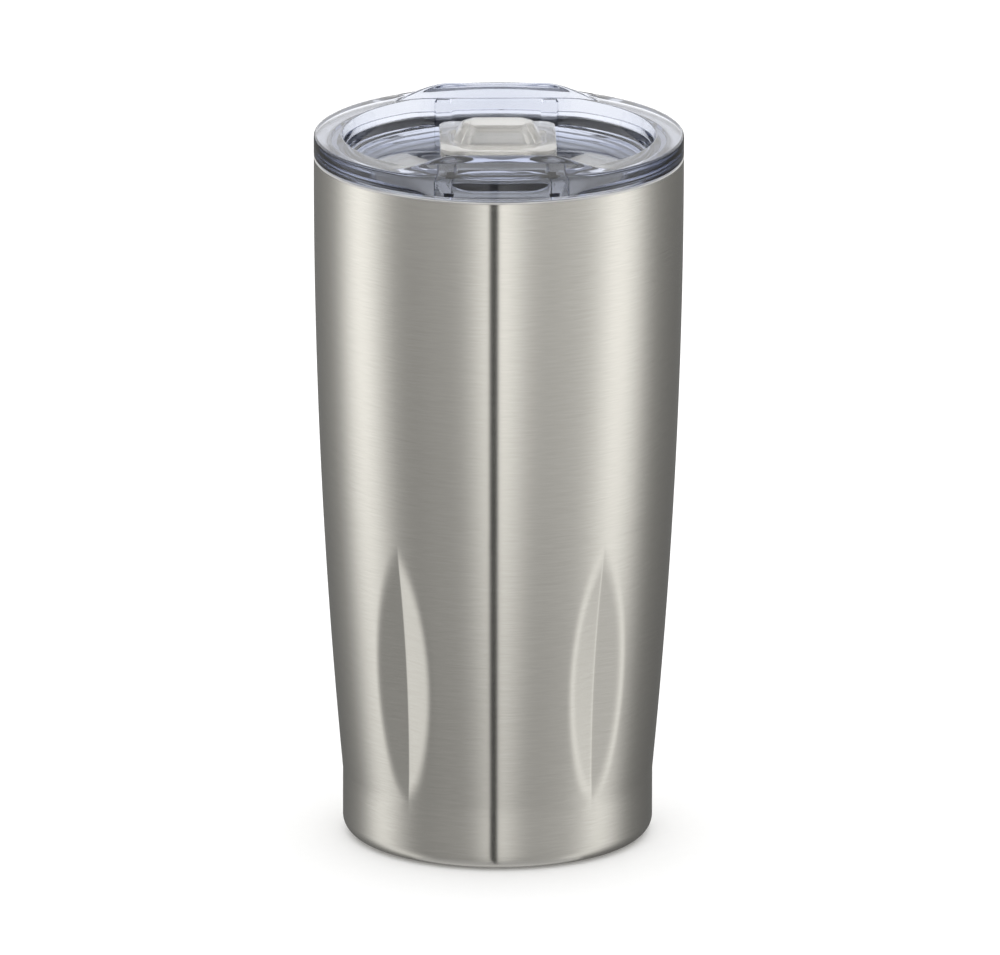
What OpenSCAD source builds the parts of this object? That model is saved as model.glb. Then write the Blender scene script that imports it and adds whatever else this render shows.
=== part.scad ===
// Insulated tumbler: a double-wall vacuum cup in stainless steel with leaf-shaped grip dimples,
// and a clear push-on lid with a thumb slider. Millimetres, +Z up. The origin is at the centre of
// the base, on the surface the cup stands on, and the drinking side faces -Y.

/* [Cup] */
// Height of the steel cup to the top of its rim
cup_h = 162.5; // [158:0.5:168]
// Outside diameter at the rim
rim_d = 85.8; // [84:0.2:88]
// Outside diameter of the straight band above the base
base_d = 72.2; // [71:0.2:73.4]
// Height where the base band ends and the wall starts to widen
band_h = 15; // [14:0.5:15.5]
// Radius of the rounded corner below the base band
corner_r = 3.75; // [3:0.25:4.5]
// Thickness of the steel sheet
steel_t = 0.5; // [0.4:0.05:0.6]
// Inside diameter of the mouth, where the lid plugs in
mouth_d = 78.8; // [78.4:0.1:79.2]

/* [Grip dimples] */
// Number of dimples round the cup
grip_count = 5; // [3:1:6]
// Height of the lower tip of a dimple
grip_low = 16; // [15.5:0.5:18]
// Height of the upper tip of a dimple
grip_high = 75.5; // [64.5:1:79.5]
// Height where the crease is upright: it leans outward above and below
grip_mid = 22; // [21:0.5:24]
// Depth of the crease below the wall at that height
grip_depth = 0.8; // [0.6:0.1:1]
// Angle of each facet from the wall
grip_angle = 9; // [8:0.5:11]

/* [Lid] */
// Height of the flange top above the cup's rim
flange_h = 5.2; // [4.8:0.1:6]
// Gap between the flange and the rim
flange_gap = 0.3; // [0.2:0.05:0.4]
// Inside diameter of the dish at the flange top
dish_d = 72.6; // [72:0.2:73.2]
// Depth of the dish below the flange top
dish_depth = 6.4; // [6:0.1:7]
// Thickness of the dish floor
floor_t = 2; // [1.8:0.1:2.2]
// Depth of the plug below the rim
plug_depth = 9.5; // [9.3:0.1:11]
// Height of the drinking lip above the flange top
lip_h = 3.6; // [3:0.1:4]
// Half width of the level part of a lip
lip_flat = 10.5; // [9:0.5:13]
// Half width where a lip has run out into the flange
lip_end = 25; // [23:0.5:26]
// Width of the drink opening
drink_w = 17; // [14:1:18]
// Length of the drink opening, front to back
drink_l = 11; // [8:1:12]

/* [Slider] */
// Width of the slider
slider_w = 27; // [26.6:0.1:27.4]
// Length of the slider, front to back
slider_l = 28; // [27:0.5:28.5]
// Height of the slider's plate above the dish floor
slider_h = 2.3; // [2.1:0.1:2.6]
// Height of the thumb grip above the dish floor
thumb_h = 6; // [5:0.1:6.3]

/* [Hidden] */
$fn = 180;
steel = [0.74, 0.73, 0.70];
inner_steel = [0.66, 0.65, 0.63];
copper = [0.78, 0.45, 0.30];
clear_blue = [0.72, 0.78, 0.92, 0.45];
milky = [0.88, 0.87, 0.83, 0.85];

rim_r = rim_d / 2;
base_r = base_d / 2;
mouth_r = mouth_d / 2;
over = 1;                      // how far a cutter runs past the face it cuts

// The wall is one long arc, upright near the rim
wall_top = cup_h - 2.5;        // where the arc becomes upright
wall_dr = rim_r - base_r;
wall_arc_r = (pow(wall_top - band_h, 2) + pow(wall_dr, 2)) / (2 * wall_dr);
wall_bands = 11;
crease_r = wall_r(grip_mid) - grip_depth;
crease_steps = 8;
tip_run = 3;                   // how far a crease's arc goes on past its tip
cutter_reach = 20;
cutter_w = 60;

// Base
foot_r = base_r - corner_r;            // outer edge of the standing ring
base_opening_r = foot_r - 2.4;         // hole in the shell that the base cover closes
cover_low = 0.2;
cover_h = 3.4;
cover_step_r = 20;
cover_step = 0.5;
vacuum_base_z = 5.2;
vacuum_flange_h = 2.8;
port_r = 0.8;                          // evacuation hole
port_dimple_r = 4;
port_dimple_h = 1.2;
getter_x = 14;
getter_r = 4;
getter_h = 2;
clip_w = 3;
clip_t = 0.3;
clip_reach = 6.5;

// Liner
mouth_straight = 14.5;                 // length of the mouth's true cylinder
liner_low_r = 32;                      // inside radius at the seam
seam_z = 18;
liner_floor_z = 10;
liner_corner_r = 6;
mouth_chamfer = 0.5;
foil_t = 0.1;
foil_gap = 0.05;
foil_low = seam_z + 4;
foil_high = cup_h - mouth_straight - 2;

// Lid, with heights above the cup's rim
dish_r = dish_d / 2;
floor_z = flange_h - dish_depth;
floor_r = dish_r - 4.2;
dish_fillet = 2.8;
plug_r = mouth_r - 0.5;
skirt_r = plug_r - 3.3;                // inside radius of the plug's skirt
edge_r = 0.8;                          // rounding of the flange edges
plug_chamfer = 0.8;
groove_low = -7.9;
groove_high = -3.7;
groove_r = plug_r - 1.5;
lip_y = 31.3;                          // flat inner face of each lip, as a chord of the dish
lip_steps = 10;
post_in = 10.4;                        // posts beside the drink channel, from x to x
post_out = 14.4;
post_y = 30.3;                         // and from y to y
post_back = dish_r - 2;
post_h = 6.4;
rib_h = 1.2;                           // dovetail ribs that guide the slider
rib_in = 10.2;
rib_out = 12.2;
rib_half_l = lip_y + 0.7;
rib_undercut = 0.4;
drink_y = -19.5;
drink_corner = 3.5;
vent_r = 1;
vent_y = -8;

// Seal
seal_clear = 0.05;
seal_lip = 0.5;

// Slider
slider_back = 27;                      // back edge with the drink opening uncovered
slider_corner = 3.5;
fit = 0.12;                            // clearance between the slider and the lid
thumb_y = 12.5;
thumb_base = [20, 12];
thumb_top = [15.5, 7.5];
thumb_chamfer = 2.6;
thumb_wall = 1.5;

function wall_r(z) =
    rim_r - wall_arc_r + sqrt(pow(wall_arc_r, 2) - pow(max(0, wall_top - z), 2));
function arc(cx, cy, r, a0, a1, n = 6) =
    [for (i = [0 : n]) let (a = a0 + (a1 - a0) * i / n) [cx + r * cos(a), cy + r * sin(a)]];
// 1 over the level part of a lip, falling smoothly to 0 where it runs out
function lip_ease(x) =
    0.5 + 0.5 * cos(180 * max(0, min(1, (abs(x) - lip_flat) / (lip_end - lip_flat))));

// Half section of the cup's outside, moved in by inset, from the axis out
module cup_section(inset, top) {
    heights = [for (i = [0 : wall_bands]) band_h + (wall_top - band_h) * i / wall_bands];
    polygon(concat(
        [[0, inset]],
        arc(foot_r, corner_r, corner_r - inset, -90, 0),
        [for (z = heights) [wall_r(z) - inset, z]],
        [[rim_r - inset, top], [0, top]]));
}

// Arc of a crease from its upright point, run up or down from there, with that rise to its tip
function crease_arc(run, rise) =
    let (r = (pow(run, 2) + pow(rise, 2)) / (2 * rise), end = abs(run) + tip_run)
    [for (i = [0 : crease_steps])
        let (z = sign(run) * end * i / crease_steps) [r - sqrt(pow(r, 2) - pow(z, 2)), z]];

// Ground outside one dimple's crease, in a plane through the axis, moved in by grow
module crease_region(grow) {
    low = crease_arc(grip_low - grip_mid, wall_r(grip_low) - crease_r);
    high = crease_arc(grip_high - grip_mid, wall_r(grip_high) - crease_r);
    translate([crease_r - grow, grip_mid]) polygon(concat(
        [for (i = [crease_steps : -1 : 1]) low[i]], high,
        [[cutter_reach, high[crease_steps][1]], [cutter_reach, low[crease_steps][1]]]));
}

// One facet's cutter: the crease region swept sideways along a line tilted by the facet's angle
module facet_cutter(grow, side) {
    translate([crease_r, 0, 0]) rotate([0, 0, -side * grip_angle]) translate([-crease_r, 0, 0])
        rotate([90, 0, 0]) linear_extrude(height = cutter_w, center = true) crease_region(grow);
}

module grip_cutters(grow) {
    for (i = [0 : grip_count - 1])
        rotate([0, 0, 90 + 360 * i / grip_count])
            intersection() {
                facet_cutter(grow, 1);
                facet_cutter(grow, -1);
            }
}

module outer_shell() {
    color(steel) difference() {
        rotate_extrude() cup_section(0, cup_h - steel_t);
        grip_cutters(0);
        difference() {
            rotate_extrude() cup_section(steel_t, cup_h + over);
            grip_cutters(steel_t);
        }
        translate([0, 0, -over]) cylinder(r = base_opening_r, h = over + corner_r);
    }
}

module inner_liner() {
    mouth_low = cup_h - mouth_straight;
    color(inner_steel) rotate_extrude() polygon(concat(
        [[liner_low_r, seam_z], [liner_low_r + steel_t, seam_z],
         [mouth_r + steel_t, mouth_low], [mouth_r + steel_t, cup_h - steel_t],
         [rim_r, cup_h - steel_t]],
        arc(rim_r - steel_t, cup_h - steel_t, steel_t, 0, 90, 4),
        [[mouth_r + mouth_chamfer, cup_h], [mouth_r, cup_h - mouth_chamfer],
         [mouth_r, mouth_low]]));
}

// Half section of the liner's rounded bottom, moved in by inset
module liner_bottom_section(inset, top) {
    outer_r = liner_low_r + steel_t;
    low = liner_floor_z - steel_t;
    polygon(concat(
        [[0, low + inset]],
        arc(outer_r - liner_corner_r, low + liner_corner_r, liner_corner_r - inset, -90, 0),
        [[outer_r - inset, top], [0, top]]));
}

module liner_bottom() {
    color(inner_steel) difference() {
        rotate_extrude() liner_bottom_section(0, seam_z);
        rotate_extrude() liner_bottom_section(steel_t, seam_z + over);
    }
}

function liner_out_r(z) =
    liner_low_r + steel_t
    + (mouth_r - liner_low_r) * (z - seam_z) / (cup_h - mouth_straight - seam_z);

module radiation_foil() {
    low_r = liner_out_r(foil_low) + foil_gap;
    high_r = liner_out_r(foil_high) + foil_gap;
    color(copper) rotate_extrude() polygon([
        [low_r, foil_low], [low_r + foil_t, foil_low],
        [high_r + foil_t, foil_high], [high_r, foil_high]]);
}

module vacuum_base() {
    outer_r = base_r - steel_t;
    z = vacuum_base_z;
    rise = port_dimple_h;
    color(steel) rotate_extrude() polygon([
        [port_r, z + rise], [port_dimple_r - rise, z + rise], [port_dimple_r, z],
        [outer_r, z], [outer_r, z + vacuum_flange_h], [outer_r - steel_t, z + vacuum_flange_h],
        [outer_r - steel_t, z + steel_t], [port_dimple_r, z + steel_t],
        [port_dimple_r - rise, z + rise + steel_t], [port_r, z + rise + steel_t]]);
}

module getter() {
    color("dimgray") translate([getter_x, 0, vacuum_base_z + steel_t])
        cylinder(r = getter_r, h = getter_h);
}

module getter_clip() {
    reach = getter_r + clip_t;
    color(steel) translate([getter_x, 0, vacuum_base_z + steel_t]) difference() {
        union() {
            translate([-reach, -clip_w / 2, 0]) cube([2 * reach, clip_w, getter_h + clip_t]);
            translate([-clip_reach, -clip_w / 2, 0]) cube([2 * clip_reach, clip_w, clip_t]);
        }
        translate([0, 0, -over]) cylinder(r = getter_r, h = getter_h + over);
    }
}

module evacuation_seal() {
    top = vacuum_base_z + port_dimple_h;
    color("darkgray") rotate_extrude() polygon([
        [0, top - 0.9], [2.2, top - 0.7], [2.6, top], [port_r, top],
        [port_r, top + steel_t], [0, top + steel_t]]);
}

module base_cover() {
    inner_r = base_opening_r - steel_t;
    top = cover_low + cover_h;
    slope_r = cover_step_r + cover_step;
    color(steel) rotate_extrude() polygon([
        [0, top - steel_t + cover_step], [cover_step_r, top - steel_t + cover_step],
        [slope_r, top - steel_t], [inner_r, top - steel_t], [inner_r, cover_low],
        [base_opening_r, cover_low], [base_opening_r, top], [slope_r, top],
        [cover_step_r, top + cover_step], [0, top + cover_step]]);
}

// Lid flange, dish and plug as one turned section
module lid_section() {
    wall_low = floor_z + dish_fillet;
    polygon(concat(
        [[0, floor_z - floor_t], [skirt_r - over, floor_z - floor_t],
         [skirt_r, floor_z - floor_t - over], [skirt_r, -plug_depth],
         [plug_r - plug_chamfer, -plug_depth], [plug_r, -plug_depth + plug_chamfer],
         [plug_r, groove_low], [groove_r, groove_low], [groove_r, groove_high],
         [plug_r, groove_high], [plug_r, flange_gap], [rim_r - edge_r / 2, flange_gap],
         [rim_r, flange_gap + edge_r / 2]],
        arc(rim_r - edge_r, flange_h - edge_r, edge_r, 0, 90, 4),
        arc(dish_r + edge_r, flange_h - edge_r, edge_r, 90, 180, 4),
        arc(floor_r, wall_low, dish_fillet, 0, -90, 6),
        [[0, floor_z]]));
}

// Plan of a lip at the front of the lid: the ground outside the dish and beyond the chord
module lip_plan(half_w) {
    difference() {
        translate([-half_w, -rim_r]) square([2 * half_w, rim_r - lip_y + 10]);
        intersection() {
            circle(r = dish_r);
            translate([-rim_r, -lip_y]) square([2 * rim_r, 2 * rim_r]);
        }
    }
}

// Front view of a lip, from below the flange top
module lip_front() {
    xs = [for (i = [0 : lip_steps]) lip_flat + (lip_end - lip_flat) * i / lip_steps];
    tops = [for (x = xs) [x, flange_h + lip_h * lip_ease(x)]];
    polygon(concat(
        [[-lip_end, flange_h - 1], [lip_end, flange_h - 1]],
        [for (i = [lip_steps : -1 : 0]) tops[i]],
        [for (i = [0 : lip_steps]) [-tops[i][0], tops[i][1]]]));
}

// Half section of a lip: a rounded ridge with a flank down to the flange's outer edge
module lip_ridge() {
    top = flange_h + lip_h;
    polygon([
        [lip_y - 1, flange_h - 1], [rim_r - edge_r, flange_h - 1], [rim_r - edge_r, flange_h],
        [39, flange_h + 1], [36.5, flange_h + 2.1], [35, flange_h + 3],
        [34, top - 0.1], [33, top], [lip_y + 0.9, top - 0.4], [lip_y - 1, top - 1.8]]);
}

// A drinking lip and the thicker dish wall below it, with a post at each side of the channel
module lip() {
    intersection() {
        rotate_extrude() lip_ridge();
        linear_extrude(height = 20) lip_plan(lip_end);
        rotate([90, 0, 0]) linear_extrude(height = 60) lip_front();
    }
    intersection() {
        translate([0, 0, floor_z - 0.5]) linear_extrude(height = dish_depth) lip_plan(rim_r);
        translate([0, 0, floor_z - 0.5]) cylinder(r = dish_r + 1, h = dish_depth);
    }
    for (side = [0, 1]) mirror([side, 0, 0])
        translate([post_in, -post_back, floor_z - 0.5])
            cube([post_out - post_in, post_back - post_y, post_h + 0.5]);
}

module rib_section() {
    polygon([[rib_in + rib_undercut / 2, -0.5], [rib_out, -0.5], [rib_out, rib_h],
             [rib_in - rib_undercut / 2, rib_h], [rib_in + rib_undercut / 2, 0]]);
}

module rounded_plate(w, l, corner, h) {
    linear_extrude(height = h) union() {
        square([w - 2 * corner, l], center = true);
        square([w, l - 2 * corner], center = true);
        for (sx = [-1, 1], sy = [-1, 1])
            translate([sx * (w / 2 - corner), sy * (l / 2 - corner)]) circle(r = corner, $fn = 48);
    }
}

module lid_body() {
    color(clear_blue) translate([0, 0, cup_h]) difference() {
        union() {
            rotate_extrude() lid_section();
            for (turn = [0, 180]) rotate([0, 0, turn]) lip();
            for (side = [0, 1]) mirror([side, 0, 0])
                translate([0, rib_half_l, floor_z]) rotate([90, 0, 0])
                    linear_extrude(height = 2 * rib_half_l) rib_section();
        }
        translate([0, drink_y, floor_z - floor_t - over])
            rounded_plate(drink_w, drink_l, drink_corner, floor_t + 2 * over);
        translate([0, vent_y, floor_z - floor_t - over])
            cylinder(r = vent_r, h = floor_t + 2 * over);
    }
}

// Ring with two soft lips that touch the mouth
module lid_seal() {
    in_r = groove_r + seal_clear;
    out_r = mouth_r - seal_clear;
    root_r = plug_r - seal_clear;
    low = groove_low + seal_clear;
    high = groove_high - seal_clear;
    mid = (low + high) / 2;
    color(milky) translate([0, 0, cup_h]) rotate_extrude() polygon([
        [in_r, low], [root_r, low], [out_r, low + seal_lip], [out_r, low + 2 * seal_lip],
        [root_r, mid - seal_lip / 2], [root_r, mid + seal_lip / 2],
        [out_r, high - 2 * seal_lip], [out_r, high - seal_lip], [root_r, high], [in_r, high]]);
}

// Octagonal plate: a rectangle with its corners cut at 45 degrees
module cut_corner_plate(size, cut, z) {
    x = size[0] / 2;
    y = size[1] / 2;
    translate([0, 0, z]) linear_extrude(height = 0.01) polygon([
        [x - cut, -y], [x, -y + cut], [x, y - cut], [x - cut, y],
        [-x + cut, y], [-x, y - cut], [-x, -y + cut], [-x + cut, -y]]);
}

module thumb_block(inset, low, high) {
    hull() {
        cut_corner_plate([thumb_base[0] - inset, thumb_base[1] - inset], thumb_chamfer, low);
        cut_corner_plate([thumb_top[0] - inset, thumb_top[1] - inset], thumb_chamfer, high - 0.01);
    }
}

module lid_slider() {
    plate_low = rib_h + fit;
    keel_top = rib_in - rib_undercut / 2 - fit;
    keel_low = rib_in + rib_undercut / 2 - fit;
    skirt_in = rib_out + fit;
    color(milky) translate([0, slider_back - slider_l / 2, cup_h + floor_z]) difference() {
        union() {
            intersection() {
                translate([0, 0, fit]) rounded_plate(slider_w, slider_l, slider_corner,
                                                     slider_h - fit);
                rotate([90, 0, 0]) linear_extrude(height = slider_l + over, center = true)
                    union() {
                        translate([-slider_w / 2, plate_low])
                            square([slider_w, slider_h - plate_low]);
                        polygon([[-keel_low, 0], [keel_low, 0], [keel_top, plate_low + 0.01],
                                 [-keel_top, plate_low + 0.01]]);
                        for (side = [0, 1]) mirror([side, 0])
                            translate([skirt_in, 0])
                                square([slider_w / 2 - skirt_in, plate_low + 0.01]);
                    }
            }
            translate([0, thumb_y - slider_back + slider_l / 2, 0])
                thumb_block(0, slider_h - 0.5, thumb_h);
        }
        translate([0, thumb_y - slider_back + slider_l / 2, 0])
            thumb_block(2 * thumb_wall, fit - 0.5, thumb_h - thumb_wall);
    }
}

outer_shell();
inner_liner();
liner_bottom();
radiation_foil();
vacuum_base();
getter();
getter_clip();
evacuation_seal();
base_cover();
lid_body();
lid_seal();
lid_slider();
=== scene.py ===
"""Insulated tumbler with lid: the looks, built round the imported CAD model.

Shapes are worked out in millimetres in the CAD's frame (+Z up, origin at the centre of the base,
drinking side to -Y) and turned into metres when a mesh is made.
"""

import math

import bmesh
import bpy
import numpy as np
from mathutils import Matrix, Vector


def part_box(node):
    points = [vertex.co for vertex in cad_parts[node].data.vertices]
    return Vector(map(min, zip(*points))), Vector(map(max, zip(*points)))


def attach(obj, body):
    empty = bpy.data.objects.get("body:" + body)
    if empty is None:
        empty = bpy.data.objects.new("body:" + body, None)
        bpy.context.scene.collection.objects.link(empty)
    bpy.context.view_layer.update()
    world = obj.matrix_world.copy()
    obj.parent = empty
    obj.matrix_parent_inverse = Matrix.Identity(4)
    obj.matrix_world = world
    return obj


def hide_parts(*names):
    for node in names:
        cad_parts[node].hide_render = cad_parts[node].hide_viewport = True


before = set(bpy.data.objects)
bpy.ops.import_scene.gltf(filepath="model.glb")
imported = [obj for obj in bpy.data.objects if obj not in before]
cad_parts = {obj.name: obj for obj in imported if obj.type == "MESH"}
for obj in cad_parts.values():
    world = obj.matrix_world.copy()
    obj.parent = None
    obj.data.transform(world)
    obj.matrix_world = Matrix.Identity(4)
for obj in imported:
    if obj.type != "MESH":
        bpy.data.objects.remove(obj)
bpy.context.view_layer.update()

MM = 0.001


def box_mm(node):
    low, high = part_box(node)
    return np.array(low) / MM, np.array(high) / MM


# ---------------------------------------------------------------- sizes, millimetres

# From the frame
liner_low, liner_high = box_mm("inner_liner")
shell_low, shell_high = box_mm("outer_shell")
lid_low, lid_high = box_mm("lid_body")
bottom_low, bottom_high = box_mm("liner_bottom")
cover_low, cover_high = box_mm("base_cover")
seal_low, seal_high = box_mm("lid_seal")
slider_low, slider_high = box_mm("lid_slider")

CUP_H = liner_high[2]
RIM_R = (shell_high[0] - shell_low[0]) / 2
STEEL_T = CUP_H - shell_high[2]
LIP_TOP = lid_high[2] - CUP_H
PLUG_LOW = lid_low[2] - CUP_H
COVER_R = (cover_high[0] - cover_low[0]) / 2
SEAL_R = (seal_high[0] - seal_low[0]) / 2
SEAM_Z = liner_low[2]
LINER_FLOOR_Z = bottom_low[2] + STEEL_T
LINER_R = (bottom_high[0] - bottom_low[0]) / 2

# Cup wall
BASE_R = 36.1
BAND_H = 15.0
CORNER_R = 3.75
WALL_TOP = CUP_H - 2.5
WALL_DR = RIM_R - BASE_R
WALL_ARC_R = ((WALL_TOP - BAND_H) ** 2 + WALL_DR ** 2) / (2 * WALL_DR)
FOOT_R = BASE_R - CORNER_R
SHELL_COLUMNS = 360
SHELL_ROW = 0.75                        # spacing of the rings where the dimples are
OPENING_EDGE = 0.15                     # bevel round the opening under the foot

# Grip dimples
GRIPS = 5
GRIP_LOW = 16.0
GRIP_HIGH = 75.5
GRIP_MID = 22.0
GRIP_DEPTH = 0.8
GRIP_ANGLE = math.radians(9)
CREASE_SOFT = 0.15                      # rounding along the crease
EDGE_SOFT = 0.45                        # rounding where a facet meets the wall
BLEND_MARGIN = 3.0                      # how far past the tips the facets still shape the wall
GRIP_MARGIN = 4.0                       # how far past the tips the rings stay dense
SPREAD_WIDE = math.radians(15)          # half angle of the dense columns far from a dimple
SPREAD_TIP = math.radians(1.5)          # and at its tips
SPREAD_LENGTH = 8.0                     # and the height over which one turns into the other

# Liner
MOUTH_R = 39.4
MOUTH_STRAIGHT = 14.5
LINER_CORNER_R = 6.0

# Lid, heights above the cup's rim
LID_COLUMNS = 480
FLANGE_H = 5.2
FLANGE_GAP = 0.3
LIP_H = LIP_TOP - FLANGE_H
DISH_R = 36.3
DISH_LOW_R = 34.9
FLOOR_Z = -1.2
FLOOR_T = 2.0
CHORD_Y = 31.3
LIP_FLAT = 10.5
LIP_END = 25.0
PLUG_R = 38.9
SKIRT_R = 35.6
GROOVE_R = 37.4
GROOVE_LOW = -7.9
GROOVE_HIGH = -3.7
POST_X = (10.4, 14.4)
POST_Y = (30.3, 34.3)
RIB_X = (10.2, 12.2)
RIB_H = 1.2
RIB_UNDERCUT = 0.4
RIB_ROOT = 0.5                          # how deep a rib is joined into the floor
RIB_HALF_L = 32.0
DRINK_SIZE = (17.0, 11.0)
DRINK_Y = -19.5
VENT_R = 1.0
VENT_Y = -8.0

# Slider, heights above the dish floor
SLIDER_W = slider_high[0] - slider_low[0]
SLIDER_L = slider_high[1] - slider_low[1]
SLIDER_Y = (slider_high[1] + slider_low[1]) / 2
FIT = 0.12                              # gap between the slider and the lid
PLATE_H = 2.3
THUMB_H = slider_high[2] - CUP_H - FLOOR_Z
THUMB_Y = 12.5
THUMB_BASE = (20.0, 12.0)
THUMB_TOP = (15.5, 7.5)
THUMB_CUT = 2.6
THUMB_WALL = 1.5


# ---------------------------------------------------------------- mesh helpers

def soften(points, shares, steps=4):
    """Rounds each inner point of a path. A share is how much of the shorter side the rounding takes."""
    points = [np.asarray(p, float) for p in points]
    out = [points[0]]
    for before, here, after, share in zip(points, points[1:], points[2:], shares):
        if max(share) == 0:
            out.append(here)
            continue
        a = here + (before - here) * share[0]
        b = here + (after - here) * share[1]
        for i in range(steps + 1):
            t = i / steps
            out.append((1 - t) ** 2 * a + 2 * t * (1 - t) * here + t * t * b)
    out.append(points[-1])
    return out


def round_path(corners, closed=False, steps=4):
    """Path through corners (r, z, trim): each corner is rounded over its trim length on both sides."""
    points = [np.array(c[:2], float) for c in corners]
    trims = [c[2] for c in corners]
    if closed:
        points = [points[-1]] + points + [points[0]]
        trims = [trims[-1]] + trims + [trims[0]]
    shares = []
    for before, here, after, trim in zip(points, points[1:], points[2:], trims[1:]):
        lengths = (np.linalg.norm(before - here), np.linalg.norm(after - here))
        shares.append([min(0.48, trim / max(length, 1e-6)) for length in lengths])
    path = soften(points, shares, steps)
    return path[1:-1] if closed else path


def mesh_object(name, vertices, faces):
    """A mesh object in metres from vertices in millimetres."""
    mesh = bpy.data.meshes.new(name)
    mesh.from_pydata((np.asarray(vertices, float) * MM).tolist(), [], faces)
    mesh.validate()
    piece = bpy.data.objects.new(name, mesh)
    bpy.context.scene.collection.objects.link(piece)
    return piece


def ring_faces(rows, columns, closed):
    """Quads of a grid of rings, and the two end caps where the rings don't close on themselves."""
    faces = []
    row_pairs = [(r, r + 1) for r in range(rows - 1)]
    if closed:
        row_pairs.append((rows - 1, 0))
    for low, high in row_pairs:
        for c in range(columns):
            n = (c + 1) % columns
            faces.append((low * columns + c, low * columns + n, high * columns + n, high * columns + c))
    if not closed:
        faces.append(tuple(reversed(range(columns))))
        faces.append(tuple(range((rows - 1) * columns, rows * columns)))
    return faces


def ring_object(name, rings, closed):
    """A closed mesh through rings, an array of rows by columns by xyz in millimetres."""
    rings = np.asarray(rings, float)
    rows, columns, _ = rings.shape
    return mesh_object(name, rings.reshape(-1, 3), ring_faces(rows, columns, closed))


def turned(name, path, closed, columns=240):
    """A solid of revolution: path is a closed loop, or runs from near the axis back to near it."""
    angles = np.linspace(0, 2 * math.pi, columns, endpoint=False)
    rings = [[(r * math.cos(a), r * math.sin(a), z) for a in angles] for r, z in path]
    return ring_object(name, rings, closed)


def prism(name, outline, low, high, axis="Z"):
    """A straight prism over a closed outline, along Z from low to high, or along Y."""
    rings = []
    for level in (low, high):
        if axis == "Z":
            rings.append([(x, y, level) for x, y in outline])
        else:
            rings.append([(x, level, z) for x, z in outline])
    return ring_object(name, rings, False)


def fix_normals(piece):
    work = bmesh.new()
    work.from_mesh(piece.data)
    bmesh.ops.recalc_face_normals(work, faces=work.faces)
    work.to_mesh(piece.data)
    work.free()


def boolean(piece, others, operation):
    """Joins others to piece or cuts them from it. It works at millimetre scale, which is steadier."""
    for other in others:
        fix_normals(other)
    fix_normals(piece)
    for part in [piece] + others:
        part.data.transform(Matrix.Scale(1 / MM, 4))
    for other in others:
        modifier = piece.modifiers.new("join", "BOOLEAN")
        modifier.operation = operation
        modifier.solver = "EXACT"
        modifier.object = other
    depsgraph = bpy.context.evaluated_depsgraph_get()
    depsgraph.update()
    made = bpy.data.meshes.new_from_object(piece.evaluated_get(depsgraph))
    piece.modifiers.clear()
    old = piece.data
    piece.data = made
    bpy.data.meshes.remove(old)
    for other in others:
        bpy.data.objects.remove(other)
    work = bmesh.new()
    work.from_mesh(piece.data)
    bmesh.ops.remove_doubles(work, verts=work.verts, dist=1e-4)
    bmesh.ops.dissolve_degenerate(work, dist=1e-5, edges=work.edges)
    work.to_mesh(piece.data)
    work.free()
    piece.data.transform(Matrix.Scale(MM, 4))


def finish_piece(piece, body, nodes, material, sharp=32):
    """Smooth shading with sharp edges, the material, and what the piece rides on and stands for."""
    fix_normals(piece)
    piece.data.polygons.foreach_set("use_smooth", [True] * len(piece.data.polygons))
    piece.data.set_sharp_from_angle(angle=math.radians(sharp))
    piece.data.materials.clear()
    piece.data.materials.append(material)
    for node in nodes:
        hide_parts(node)
    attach(piece, body)


# ---------------------------------------------------------------- materials

class Nodes:
    """A small helper to write node trees in few lines."""

    def __init__(self, tree):
        self.tree = tree
        self.tree.nodes.clear()

    def add(self, kind, settings=None, **inputs):
        node = self.tree.nodes.new(kind)
        for key, value in (settings or {}).items():
            setattr(node, key, value)
        for key, value in inputs.items():
            self.feed(node, key.replace("_", " "), value)
        return node

    def feed(self, node, socket, value):
        target = node.inputs[int(socket)] if str(socket).isdigit() else node.inputs[socket]
        if isinstance(value, bpy.types.NodeSocket):
            self.tree.links.new(value, target)
        else:
            target.default_value = value

    def math(self, operation, a, b=0.0, c=0.0):
        node = self.add("ShaderNodeMath", {"operation": operation})
        for index, value in enumerate((a, b, c)):
            self.feed(node, index, value)
        return node.outputs[0]

    def smooth_range(self, value, low, high, out_low=0.0, out_high=1.0):
        node = self.add("ShaderNodeMapRange", {"interpolation_type": "SMOOTHSTEP"})
        for socket, number in zip(("Value", "From Min", "From Max", "To Min", "To Max"),
                                  (value, low, high, out_low, out_high)):
            self.feed(node, socket, number)
        return node.outputs["Result"]

    def noise(self, scale, detail=3.0):
        """Noise on the object's own coordinates, stretched by scale (x, y, z) per metre."""
        place = self.add("ShaderNodeTexCoord").outputs["Object"]
        mapping = self.add("ShaderNodeMapping", Vector=place, Scale=scale)
        node = self.add("ShaderNodeTexNoise", Vector=mapping.outputs[0], Scale=1.0, Detail=detail)
        return node.outputs["Fac"]

    def mix_colour(self, factor, a, b):
        node = self.add("ShaderNodeMix", {"data_type": "RGBA"})
        self.feed(node, 0, factor)
        self.feed(node, 6, a)
        self.feed(node, 7, b)
        return node.outputs[2]


def new_material(name):
    material = bpy.data.materials.new(name)
    material.use_nodes = True
    nodes = Nodes(material.node_tree)
    output = nodes.add("ShaderNodeOutputMaterial")
    shader = nodes.add("ShaderNodeBsdfPrincipled")
    nodes.feed(output, "Surface", shader.outputs[0])
    return material, nodes, shader, output


def bump(nodes, shader, height, strength, distance):
    node = nodes.add("ShaderNodeBump", Strength=strength, Distance=distance, Height=height)
    nodes.feed(shader, "Normal", node.outputs[0])


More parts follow.
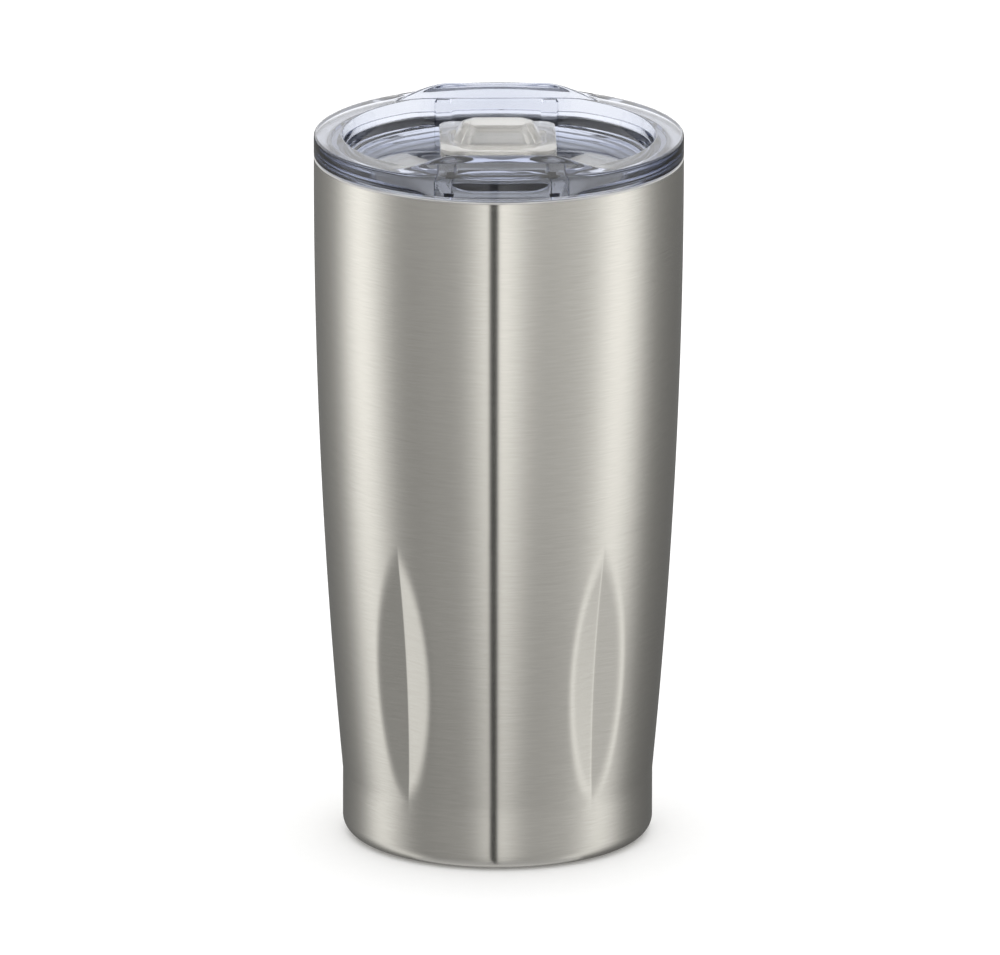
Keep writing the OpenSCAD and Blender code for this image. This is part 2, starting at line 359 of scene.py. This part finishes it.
def brushed_steel(name, dark, light, roughness, anisotropy, streak, depth):
    """Steel brushed round the Z axis: streaks are short round the cup and very fine up it."""
    material, nodes, shader, _ = new_material(name)
    fine = nodes.noise((220, 220, 14000), detail=2.0)
    broad = nodes.noise((90, 90, 6000), detail=2.0)
    cloud = nodes.noise((30, 30, 30), detail=2.0)
    streaks = nodes.math("ADD", nodes.math("MULTIPLY", fine, 0.75), nodes.math("MULTIPLY", broad, 0.25))
    factor = nodes.smooth_range(streaks, 0.5 - streak, 0.5 + streak)
    colour = nodes.mix_colour(factor, dark, light)
    nodes.feed(shader, "Base Color", colour)
    nodes.feed(shader, "Metallic", 1.0)
    spread = nodes.math("MULTIPLY_ADD", streaks, 0.05, roughness - 0.025)
    nodes.feed(shader, "Roughness", nodes.math("MULTIPLY_ADD", cloud, 0.03, spread))
    nodes.feed(shader, "Anisotropic", anisotropy)
    nodes.feed(shader, "Anisotropic Rotation", 0.25)
    tangent = nodes.add("ShaderNodeTangent", {"direction_type": "RADIAL", "axis": "Z"})
    nodes.feed(shader, "Tangent", tangent.outputs[0])
    grain = nodes.noise((2500, 2500, 9000))
    bump(nodes, shader, nodes.math("ADD", grain, streaks), 0.2, depth)
    return material


def clear_plastic(name):
    material, nodes, shader, output = new_material(name)
    grain = nodes.noise((900, 900, 900), detail=2.0)
    nodes.feed(shader, "Base Color", (0.97, 0.98, 1.0, 1))
    nodes.feed(shader, "Transmission Weight", 1.0)
    nodes.feed(shader, "IOR", 1.49)
    nodes.feed(shader, "Roughness", nodes.math("MULTIPLY_ADD", grain, 0.03, 0.01))
    wave = nodes.noise((120, 120, 120), detail=1.0)
    bump(nodes, shader, wave, 0.05, 0.0002)
    absorb = nodes.add("ShaderNodeVolumeAbsorption", Color=(0.30, 0.36, 0.53, 1), Density=58.0)
    nodes.feed(output, "Volume", absorb.outputs[0])
    return material


def milky_plastic(name):
    """Frosted, slightly cloudy plastic that light passes through."""
    material, nodes, shader, output = new_material(name)
    cloud = nodes.noise((90, 90, 90), detail=3.0)
    nodes.feed(shader, "Base Color", nodes.mix_colour(cloud, (0.88, 0.87, 0.84, 1), (0.95, 0.94, 0.91, 1)))
    nodes.feed(shader, "Transmission Weight", 0.75)
    nodes.feed(shader, "IOR", 1.45)
    nodes.feed(shader, "Roughness", nodes.math("MULTIPLY_ADD", cloud, 0.06, 0.05))
    bump(nodes, shader, nodes.noise((1500, 1500, 1500)), 0.03, 0.0001)
    absorb = nodes.add("ShaderNodeVolumeAbsorption", Color=(0.60, 0.58, 0.52, 1), Density=30.0)
    nodes.feed(output, "Volume", absorb.outputs[0])
    return material


def silicone(name):
    material, nodes, shader, _ = new_material(name)
    cloud = nodes.noise((150, 150, 150), detail=2.0)
    nodes.feed(shader, "Base Color", nodes.mix_colour(cloud, (0.70, 0.71, 0.78, 1),
                                                      (0.78, 0.79, 0.85, 1)))
    nodes.feed(shader, "Transmission Weight", 0.3)
    nodes.feed(shader, "IOR", 1.41)
    nodes.feed(shader, "Roughness", nodes.math("MULTIPLY_ADD", cloud, 0.15, 0.35))
    bump(nodes, shader, nodes.noise((2500, 2500, 2500)), 0.15, 0.0001)
    return material


def hidden_finish(name, dark, light, metallic, roughness, size, depth):
    """Finish of a part sealed inside the vacuum, as a mottled surface."""
    material, nodes, shader, _ = new_material(name)
    cloud = nodes.noise((size, size, size), detail=4.0)
    nodes.feed(shader, "Base Color", nodes.mix_colour(cloud, dark, light))
    nodes.feed(shader, "Metallic", metallic)
    nodes.feed(shader, "Roughness", nodes.math("MULTIPLY_ADD", cloud, 0.2, roughness))
    bump(nodes, shader, cloud, 0.4, depth)
    return material


STEEL = brushed_steel("brushed_steel", (0.61, 0.595, 0.555, 1), (0.67, 0.655, 0.615, 1),
                      0.18, 1.0, 0.2, 0.000004)
SATIN = brushed_steel("inner_steel", (0.50, 0.49, 0.475, 1), (0.62, 0.61, 0.59, 1),
                      0.30, 0.6, 0.25, 0.000004)
CLEAR = clear_plastic("clear_plastic")
MILKY = milky_plastic("milky_plastic")
SILICONE = silicone("silicone")
COPPER = hidden_finish("copper_foil", (0.72, 0.36, 0.22, 1), (0.85, 0.50, 0.35, 1), 1.0, 0.15, 400, 0.0002)
GETTER = hidden_finish("getter_pill", (0.12, 0.12, 0.13, 1), (0.24, 0.24, 0.25, 1), 0.4, 0.6, 3000, 0.0002)
GLASS = hidden_finish("seal_glass", (0.10, 0.11, 0.12, 1), (0.18, 0.19, 0.21, 1), 0.0, 0.1, 900, 0.00005)


# ---------------------------------------------------------------- cup

def wall_r(z):
    drop = np.maximum(0.0, WALL_TOP - np.maximum(z, BAND_H))
    return RIM_R - WALL_ARC_R + np.sqrt(WALL_ARC_R ** 2 - drop ** 2)


def crease_offset(z):
    """How far the crease leans out from its upright point, at height z."""
    tip = GRIP_HIGH if z > GRIP_MID else GRIP_LOW
    run = tip - GRIP_MID
    rise = wall_r(tip) - (wall_r(GRIP_MID) - GRIP_DEPTH)
    r = (run ** 2 + rise ** 2) / (2 * rise)
    return r - math.sqrt(max(0.0, r ** 2 - (z - GRIP_MID) ** 2))


def facet_reach(z):
    """Distance of a facet from the axis, measured along the facet's own normal."""
    return (wall_r(GRIP_MID) - GRIP_DEPTH) * math.cos(GRIP_ANGLE) + crease_offset(z)


def edge_angle(z):
    """Half angle in which the columns are dense: a dimple's own, widening beyond its tips."""
    reach = facet_reach(z) / wall_r(z)
    true = math.acos(reach) - GRIP_ANGLE if reach < math.cos(GRIP_ANGLE) else 0.0
    beyond = max(0.0, GRIP_LOW - z, z - GRIP_HIGH)
    spread = SPREAD_WIDE - (SPREAD_WIDE - SPREAD_TIP) * math.exp(-beyond / SPREAD_LENGTH)
    return max(true, spread)


def smooth_min(a, b, width):
    blend = np.maximum(width - np.abs(a - b), 0.0) / width
    return np.minimum(a, b) - blend * blend * width / 4


def sector_angles(z):
    """Angles from a dimple's crease to half way to the next, closer together at crease and edge."""
    half_sector = math.pi / GRIPS
    inner = SHELL_COLUMNS // (2 * GRIPS) * 2 // 5
    outer = SHELL_COLUMNS // (2 * GRIPS) - inner
    edge = edge_angle(z)
    near = edge * (0.5 - 0.5 * np.cos(np.pi * np.arange(inner) / inner))
    far = edge + (half_sector - edge) * (np.arange(outer + 1) / outer) ** 1.25
    return np.concatenate([near, far])


def shell_ring(z, inset, base_r=None):
    """One ring of the shell, moved in by inset. base_r overrides the wall's radius."""
    half = sector_angles(z)
    away = np.concatenate([-half[:0:-1], half[:-1]])
    r_wall = wall_r(z) if base_r is None else base_r + inset
    soft = np.sqrt(away ** 2 + (CREASE_SOFT / RIM_R) ** 2)
    r = np.full(len(away), r_wall)
    if GRIP_LOW - BLEND_MARGIN < z < GRIP_HIGH + BLEND_MARGIN and base_r is None:
        facet = facet_reach(z) / np.cos(np.minimum(soft + GRIP_ANGLE, 1.4))
        r = smooth_min(r, facet, EDGE_SOFT)
    r = r - inset
    ring = []
    for i in range(GRIPS):
        turn = math.pi / 2 + 2 * math.pi * i / GRIPS
        ring += list(zip(r * np.cos(turn + away), r * np.sin(turn + away), np.full(len(away), z)))
    return ring


def shell_rings():
    """Rings down the outside, round the foot's edge and back up the inside."""
    top = CUP_H - STEEL_T
    dense_top = GRIP_HIGH + GRIP_MARGIN
    upper = np.linspace(top, dense_top, 24)
    dimpled = np.arange(dense_top, BAND_H, -SHELL_ROW)[1:]
    rings = [shell_ring(z, 0) for z in np.concatenate([upper, dimpled])]
    rings += [shell_ring(z, 0) for z in np.linspace(BAND_H, CORNER_R, 5)]
    for a in np.linspace(0, -math.pi / 2, 13)[1:]:
        rings.append(shell_ring(CORNER_R * (1 + math.sin(a)), 0, FOOT_R + CORNER_R * math.cos(a)))
    rings.append(shell_ring(0, 0, COVER_R + OPENING_EDGE))
    rings.append(shell_ring(OPENING_EDGE, 0, COVER_R))
    rings.append(shell_ring(STEEL_T, 0, COVER_R))
    inner_r = CORNER_R - STEEL_T
    for a in np.linspace(-math.pi / 2, 0, 9):
        rings.append(shell_ring(CORNER_R + inner_r * math.sin(a), 0, FOOT_R + inner_r * math.cos(a)))
    inner_row = 2 * SHELL_ROW
    inner_z = np.concatenate([np.linspace(6, BAND_H, 3),
                              np.arange(BAND_H + inner_row, dense_top, inner_row),
                              np.linspace(dense_top + 2, top, 20)])
    rings += [shell_ring(z, STEEL_T) for z in inner_z]
    return rings


finish_piece(ring_object("shell", shell_rings(), True), "cup", ["outer_shell"], STEEL)


def build_liner():
    mouth_low = CUP_H - MOUTH_STRAIGHT
    low_in = LINER_R - STEEL_T
    path = round_path([
        (low_in, SEAM_Z, 0.0), (LINER_R, SEAM_Z, 0.0),
        (MOUTH_R + STEEL_T, mouth_low, 3.0), (MOUTH_R + STEEL_T, CUP_H - STEEL_T, 0.2),
        (RIM_R, CUP_H - STEEL_T, 0.02), (RIM_R, CUP_H, 0.45),
        (MOUTH_R, CUP_H, 1.0), (MOUTH_R, mouth_low, 3.0)], closed=True, steps=6)
    return turned("liner", path, True, 360)


def build_liner_bottom():
    low = LINER_FLOOR_Z - STEEL_T
    path = round_path([
        (6, low + STEEL_T, 0), (LINER_R - STEEL_T, low + STEEL_T, LINER_CORNER_R - STEEL_T),
        (LINER_R - STEEL_T, SEAM_Z, 0.0), (LINER_R, SEAM_Z, 0.0),
        (LINER_R, low, LINER_CORNER_R), (6, low, 0)], steps=8)
    return turned("liner_bottom_pan", path, False, 360)


def build_base_cover():
    low, top = cover_low[2], cover_high[2]
    flat = top - 0.5
    r = COVER_R
    path = round_path([
        (6, top - STEEL_T, 0), (20, top - STEEL_T, 0.6), (20.6, flat - STEEL_T, 0.6),
        (r - STEEL_T, flat - STEEL_T, 1.0), (r - STEEL_T, low, 0.15), (r, low, 0.1),
        (r, flat, 1.4), (20.6, flat, 0.6), (20, top, 0.6), (6, top, 0)], steps=6)
    return turned("foot_cover", path, False, 360)


finish_piece(build_liner(), "cup", ["inner_liner"], SATIN)
finish_piece(build_liner_bottom(), "cup", ["liner_bottom"], SATIN)
finish_piece(build_base_cover(), "cup", ["base_cover"], STEEL)

for node, material in (("radiation_foil", COPPER), ("vacuum_base", SATIN), ("getter", GETTER),
                       ("getter_clip", SATIN), ("evacuation_seal", GLASS)):
    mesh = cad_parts[node].data
    mesh.materials.clear()
    mesh.materials.append(material)


# ---------------------------------------------------------------- lid

def lip_ease(x):
    """1 over the level part of a lip, falling smoothly to 0 where it runs out into the flange."""
    return 0.5 + 0.5 * math.cos(math.pi * min(1.0, max(0.0, (abs(x) - LIP_FLAT) / (LIP_END - LIP_FLAT))))


def lid_column(angle):
    """Half section of the lid at one angle, from the dish floor over the flange to the floor's underside."""
    side = abs(math.sin(angle))
    chord = CHORD_Y / max(side, 0.2)
    wall = float(smooth_min(np.float64(DISH_R), np.float64(chord), 1.6))
    foot = float(smooth_min(np.float64(DISH_LOW_R), np.float64(chord - 0.25), 1.6))
    planar = min(1.0, max(0.0, (DISH_R - chord) / 2))
    ease = lip_ease((wall + 1.5) * math.cos(angle))
    top = FLANGE_H + LIP_H * ease
    crease_r = max(34.5 * ease + 40.8 * (1 - ease), wall + 2.6)
    crease_h = top - 0.35 * ease
    flank_r = crease_r + 0.4 * (RIM_R - crease_r)
    flank_h = FLANGE_H + 0.42 * (crease_h - FLANGE_H)
    corners = [
        (20, FLOOR_Z, 0),
        (foot, FLOOR_Z, 2.6 - 1.8 * planar),
        (wall, FLANGE_H, 0.6),
        (wall + 0.75, FLANGE_H + 0.1 * ease, 0.3),
        (wall + 1.25, top, 0.5 + 0.2 * ease),
        (crease_r, crease_h, 0.7 + 0.2 * ease),
        (flank_r, flank_h, 1.2),
        (RIM_R, FLANGE_H, 0.8 + 0.3 * ease),
        (RIM_R, FLANGE_GAP, 0.35),
        (PLUG_R, FLANGE_GAP, 0.25),
        (PLUG_R, GROOVE_HIGH, 0.15),
        (GROOVE_R, GROOVE_HIGH, 0.2),
        (GROOVE_R, GROOVE_LOW, 0.2),
        (PLUG_R, GROOVE_LOW, 0.15),
        (PLUG_R, PLUG_LOW, 0.8),
        (SKIRT_R, PLUG_LOW, 0.5),
        (SKIRT_R, FLOOR_Z - FLOOR_T, 1.0),
        (20, FLOOR_Z - FLOOR_T, 0)]
    return [(r * math.cos(angle), r * math.sin(angle), z + CUP_H)
            for r, z in round_path(corners, steps=5)]


def octagon(width, length, cut, centre_y=0.0):
    x, y = width / 2, length / 2
    corners = [(x - cut, -y), (x, -y + cut), (x, y - cut), (x - cut, y),
               (-x + cut, y), (-x, y - cut), (-x, -y + cut), (-x + cut, -y)]
    return [(px, py + centre_y) for px, py in corners]


def rounded_octagon(width, length, cut, centre_y, trim):
    """A rectangle with cut corners, each of its eight corners rounded: 48 points."""
    return [tuple(p) for p in round_path(
        [(x, y, trim) for x, y in octagon(width, length, cut, centre_y)], closed=True, steps=5)]


def outline_loft(name, levels, shares, base_z, steps=4):
    """A closed solid through rounded octagons. A level is width, length, cut, centre y, trim and height."""
    rings = []
    for level in soften(levels, shares, steps):
        width, length, cut, centre_y, trim, z = level
        rings.append([(x, y, z + base_z) for x, y in rounded_octagon(width, length, cut, centre_y, trim)])
    return ring_object(name, rings, False)


def hole_cutter(name, width, length, cut, trim, centre_y, flare):
    """Cutter for a hole in the dish floor, wider by flare at both faces."""
    top, low = FLOOR_Z + CUP_H, FLOOR_Z - FLOOR_T + CUP_H
    levels = []
    for z, grow in ((low - 1, flare + 1), (low + flare, 0), (top - flare, 0), (top + 1, flare + 1)):
        levels.append((width + 2 * grow, length + 2 * grow, cut + 0.6 * grow, centre_y, trim, z))
    return outline_loft(name, levels, [(0.3, 0.3), (0.3, 0.3)], 0.0, 3)


def rib_outline(side, grow=0.0):
    """Section of a rib, its inner face undercut. The slider's channels are the same section grown."""
    floor = FLOOR_Z + CUP_H
    foot_x = side * (RIB_X[0] + RIB_UNDERCUT / 2 - grow)
    head_x = side * (RIB_X[0] - RIB_UNDERCUT / 2 - grow)
    outer_x = side * (RIB_X[1] + grow)
    low, top = floor - RIB_ROOT, floor + RIB_H + grow
    return [(foot_x, low), (outer_x, low), (outer_x, top), (head_x, top), (foot_x, floor)]


def post(side, end):
    """A post beside the drinking channel, its foot in the floor and its top inside the lip."""
    x = side * (POST_X[0] + POST_X[1]) / 2
    y = end * (POST_Y[0] + POST_Y[1]) / 2
    width, length = POST_X[1] - POST_X[0], POST_Y[1] - POST_Y[0]
    rings = []
    levels = [(0.0, FLOOR_Z - 0.6), (0.0, FLANGE_H - 0.6), (0.35, FLANGE_H - 0.05)]
    for inset, z in levels:
        outline = rounded_octagon(width - 2 * inset, length - 2 * inset, 0.35, 0, 0.2)
        rings.append([(px + x, py + y, z + CUP_H) for px, py in outline])
    return ring_object("post", rings, False)


def build_lid():
    angles = np.linspace(0, 2 * math.pi, LID_COLUMNS, endpoint=False)
    columns = np.array([lid_column(a) for a in angles])
    lid = ring_object("lid", columns.transpose(1, 0, 2), False)
    ribs = [prism("rib", rib_outline(side), -RIB_HALF_L, RIB_HALF_L, "Y") for side in (-1, 1)]
    posts = [post(side, end) for side in (-1, 1) for end in (-1, 1)]
    boolean(lid, ribs + posts, "UNION")
    drink = hole_cutter("drink", DRINK_SIZE[0], DRINK_SIZE[1], 2.1, 1.4, DRINK_Y, 0.35)
    vent = hole_cutter("vent", 2 * VENT_R, 2 * VENT_R, 0.58, 0.25, VENT_Y, 0.2)
    boolean(lid, [drink, vent], "DIFFERENCE")
    return lid


def build_slider():
    """The plate with its hollow thumb grip, and the two channels that run on the lid's ribs."""
    deep = 2 * THUMB_WALL
    levels = [
        (THUMB_TOP[0] - deep, THUMB_TOP[1] - deep, 1.2, THUMB_Y, 0.4, THUMB_H - THUMB_WALL),
        (THUMB_BASE[0] - deep, THUMB_BASE[1] - deep, 1.6, THUMB_Y, 0.5, FIT),
        (SLIDER_W - 0.6, SLIDER_L - 0.6, 2.1, SLIDER_Y, 1.4, FIT),
        (SLIDER_W, SLIDER_L, 2.1, SLIDER_Y, 1.4, FIT + 0.4),
        (SLIDER_W, SLIDER_L, 2.1, SLIDER_Y, 1.4, PLATE_H),
        (THUMB_BASE[0] + 2.6, THUMB_BASE[1] + 2.6, 2.9, THUMB_Y, 0.9, PLATE_H),
        (THUMB_BASE[0] + 1.6, THUMB_BASE[1] + 1.6, 2.8, THUMB_Y, 0.8, PLATE_H - 0.35),
        (THUMB_BASE[0] + 0.3, THUMB_BASE[1] + 0.3, THUMB_CUT, THUMB_Y, 0.6, PLATE_H - 0.35),
        (THUMB_BASE[0] - 0.6, THUMB_BASE[1] - 0.6, THUMB_CUT, THUMB_Y, 0.6, PLATE_H + 1.1),
        (THUMB_TOP[0] + 0.6, THUMB_TOP[1] + 0.6, THUMB_CUT, THUMB_Y, 0.6, THUMB_H),
        (THUMB_TOP[0] - 1.2, THUMB_TOP[1] - 1.2, THUMB_CUT - 0.5, THUMB_Y, 0.6, THUMB_H)]
    shares = [(0.1, 0.1), (0.02, 0.3), (0.3, 0.3), (0.3, 0.06), (0.3, 0.3), (0.3, 0.3), (0.3, 0.3),
              (0.3, 0.3), (0.25, 0.45)]
    slider = outline_loft("slider", levels, shares, FLOOR_Z + CUP_H, 4)
    channels = [prism("channel", rib_outline(side, FIT), SLIDER_Y - SLIDER_L, SLIDER_Y + SLIDER_L, "Y")
                for side in (-1, 1)]
    boolean(slider, channels, "DIFFERENCE")
    return slider


def build_seal():
    clear = 0.05
    low, high = GROOVE_LOW + clear + CUP_H, GROOVE_HIGH - clear + CUP_H
    mid = (low + high) / 2
    in_r, root_r, lip = GROOVE_R + clear, PLUG_R - clear, 0.5
    path = round_path([
        (in_r, low, 0.2), (root_r, low, 0.1), (SEAL_R, low + lip, 0.2), (SEAL_R, low + 2 * lip, 0.2),
        (root_r, mid - lip / 2, 0.2), (root_r, mid + lip / 2, 0.2),
        (SEAL_R, high - 2 * lip, 0.2), (SEAL_R, high - lip, 0.2), (root_r, high, 0.1),
        (in_r, high, 0.2)], closed=True, steps=4)
    return turned("seal_ring", path, True, 300)


finish_piece(build_lid(), "lid", ["lid_body"], CLEAR)
finish_piece(build_slider(), "slider", ["lid_slider"], MILKY, 28)
finish_piece(build_seal(), "seal", ["lid_seal"], SILICONE)


# ---------------------------------------------------------------- floor, light and camera

VIEW_AZIMUTH = -1.1                     # degrees from -Y towards +X
VIEW_ELEVATION = 15.76                  # degrees above the level
VIEW_DISTANCE = 5.0                     # metres
AIM_Z = 0.0849                          # metres
ROLL = 0.12                             # degrees
LENS = 774.0                            # millimetres
SHIFT_X = 0.0018


FLOOR_HALF = 20.0                       # metres


def build_floor():
    size = FLOOR_HALF
    mesh = bpy.data.meshes.new("floor")
    mesh.from_pydata([(-size, -size, 0), (size, -size, 0), (size, size, 0), (-size, size, 0)],
                     [], [(0, 1, 2, 3)])
    floor = bpy.data.objects.new("floor", mesh)
    bpy.context.scene.collection.objects.link(floor)
    material, nodes, shader, _ = new_material("floor_paper")
    grain = nodes.noise((400, 400, 400), detail=2.0)
    nodes.feed(shader, "Base Color", nodes.mix_colour(grain, (0.93, 0.93, 0.93, 1), (0.95, 0.95, 0.95, 1)))
    nodes.feed(shader, "Roughness", 0.9)
    nodes.feed(shader, "Specular IOR Level", 0.0)
    mesh.materials.append(material)
    floor.visible_glossy = False


# Soft lights round the cup: azimuth from -Y towards +X, half width, both in degrees, strength,
# and the share of it that is left at the lower end
SOFT_LIGHTS = ((-1.1, 17, 1.02, 0.44), (-37, 20, 0.12, 0.8), (38, 24, 0.30, 0.62), (77, 21, 1.04, 0.66),
               (-92, 20, 1.08, 0.64), (-128, 24, 0.08, 0.8))
FILL_FRONT = 0.30                       # even light between the soft lights
FILL_BACK = 0.17
FILL_LOW = 0.84                         # share of the even light that is left at the lower end
GAP_AZIMUTH = -3.8                      # dark gap between the two front panels
GAP_HALF_WIDTH = 2.6
GAP_SOFT = 0.7
TENT_GAP = 0.03                         # brightness left in the gap
SKY_GAP = 0.1
TENT_R = 0.32                           # metres
TENT_LOW = -0.5
TENT_HIGH = 0.172
FADE_LOW = -0.10                        # the lights fade between these heights, metres
FADE_HIGH = 0.045
SKY_FRONT = 0.95
SKY_BACK = 1.35
OVERHEAD = 1.7
GROUND = 0.5                            # what the cup's underside and rounded foot reflect


def azimuth_node(nodes, x, y):
    """Degrees from -Y towards +X."""
    return nodes.math("MULTIPLY", nodes.math("ARCTAN2", x, nodes.math("MULTIPLY", y, -1.0)), 180 / math.pi)


def gap_node(nodes, azimuth, dark):
    away = nodes.math("ABSOLUTE", nodes.math("SUBTRACT", azimuth, GAP_AZIMUTH))
    return nodes.smooth_range(away, GAP_HALF_WIDTH - GAP_SOFT, GAP_HALF_WIDTH + GAP_SOFT, dark, 1.0)


def build_tent():
    """Soft panels close round the cup, seen in its reflections only."""
    columns = 96
    rings = []
    for z in (TENT_LOW, TENT_HIGH):
        rings.append([(TENT_R / MM * math.cos(a), TENT_R / MM * math.sin(a), z / MM)
                      for a in np.linspace(0, 2 * math.pi, columns, endpoint=False)])
    sides = [face for face in ring_faces(2, columns, False) if len(face) == 4]
    tent = mesh_object("light_tent", np.array(rings).reshape(-1, 3), sides)
    material = bpy.data.materials.new("light_panels")
    material.use_nodes = True
    nodes = Nodes(material.node_tree)
    place = nodes.add("ShaderNodeTexCoord").outputs["Object"]
    x, y, z = nodes.add("ShaderNodeSeparateXYZ", Vector=place).outputs
    azimuth = azimuth_node(nodes, x, y)
    height = nodes.smooth_range(z, FADE_LOW, FADE_HIGH)
    total = nodes.smooth_range(nodes.math("ABSOLUTE", azimuth), 90.0, 150.0, FILL_FRONT, FILL_BACK)
    total = nodes.math("MULTIPLY", total, nodes.math("MULTIPLY_ADD", height, 1 - FILL_LOW, FILL_LOW))
    for centre, width, strength, low in SOFT_LIGHTS:
        offset = nodes.math("DIVIDE", nodes.math("SUBTRACT", azimuth, float(centre)), float(width))
        falloff = nodes.math("MULTIPLY", nodes.math("MULTIPLY", offset, offset), -1.0)
        bell = nodes.math("POWER", math.e, falloff)
        share = nodes.math("MULTIPLY_ADD", height, strength * (1 - low), strength * low)
        total = nodes.math("MULTIPLY_ADD", bell, share, total)
    lit = nodes.math("MULTIPLY", total, gap_node(nodes, azimuth, TENT_GAP))
    emission = nodes.add("ShaderNodeEmission", Color=(1.0, 0.995, 0.975, 1), Strength=lit)
    output = nodes.add("ShaderNodeOutputMaterial")
    nodes.feed(output, "Surface", emission.outputs[0])
    material.cycles.emission_sampling = "NONE"
    tent.data.materials.append(material)
    tent.visible_camera = False
    tent.visible_diffuse = False
    tent.visible_shadow = False
    tent.visible_transmission = False


def build_light():
    """Even studio light from the sky, brighter overhead, with the gap between the front panels."""
    world = bpy.data.worlds.new("studio")
    bpy.context.scene.world = world
    world.use_nodes = True
    nodes = Nodes(world.node_tree)
    ray = nodes.add("ShaderNodeTexCoord").outputs["Generated"]
    x, y, z = nodes.add("ShaderNodeSeparateXYZ", Vector=ray).outputs
    elevation = nodes.math("MULTIPLY", nodes.math("ARCSINE", z), 180 / math.pi)
    azimuth = azimuth_node(nodes, x, y)
    level = nodes.smooth_range(nodes.math("ABSOLUTE", azimuth), 100.0, 140.0, SKY_FRONT, SKY_BACK)
    rise = nodes.add("ShaderNodeMix", {"data_type": "FLOAT"})
    nodes.feed(rise, 0, nodes.smooth_range(elevation, 40.0, 62.0))
    nodes.feed(rise, 2, level)
    nodes.feed(rise, 3, OVERHEAD)
    lit = nodes.math("MULTIPLY", rise.outputs[0], gap_node(nodes, azimuth, SKY_GAP))
    above = nodes.smooth_range(elevation, -6.0, 0.0, GROUND, 1.0)
    lit = nodes.math("MULTIPLY", lit, above)
    background = nodes.add("ShaderNodeBackground", Color=(1.0, 1.0, 1.0, 1), Strength=lit)
    output = nodes.add("ShaderNodeOutputWorld")
    nodes.feed(output, "Surface", background.outputs[0])
    world.cycles.sampling_method = "MANUAL"
    world.cycles.sample_map_resolution = 1024


def build_camera():
    azimuth, elevation = math.radians(VIEW_AZIMUTH), math.radians(VIEW_ELEVATION)
    flat = VIEW_DISTANCE * math.cos(elevation)
    aim = Vector((0, 0, AIM_Z))
    place = aim + Vector((flat * math.sin(azimuth), -flat * math.cos(azimuth),
                          VIEW_DISTANCE * math.sin(elevation)))
    data = bpy.data.cameras.new("camera")
    data.lens = LENS
    data.shift_x = SHIFT_X
    data.clip_end = 100
    camera = bpy.data.objects.new("camera", data)
    bpy.context.scene.collection.objects.link(camera)
    turn = (aim - place).to_track_quat("-Z", "Y").to_matrix().to_4x4()
    camera.matrix_world = Matrix.Translation(place) @ turn @ Matrix.Rotation(math.radians(ROLL), 4, "Z")
    bpy.context.scene.camera = camera


build_floor()
build_tent()
build_light()
build_camera()

scene = bpy.context.scene
scene.view_settings.view_transform = "Standard"
scene.cycles.max_bounces = 24
scene.cycles.transmission_bounces = 20
scene.cycles.glossy_bounces = 8
scene.cycles.use_denoising = True
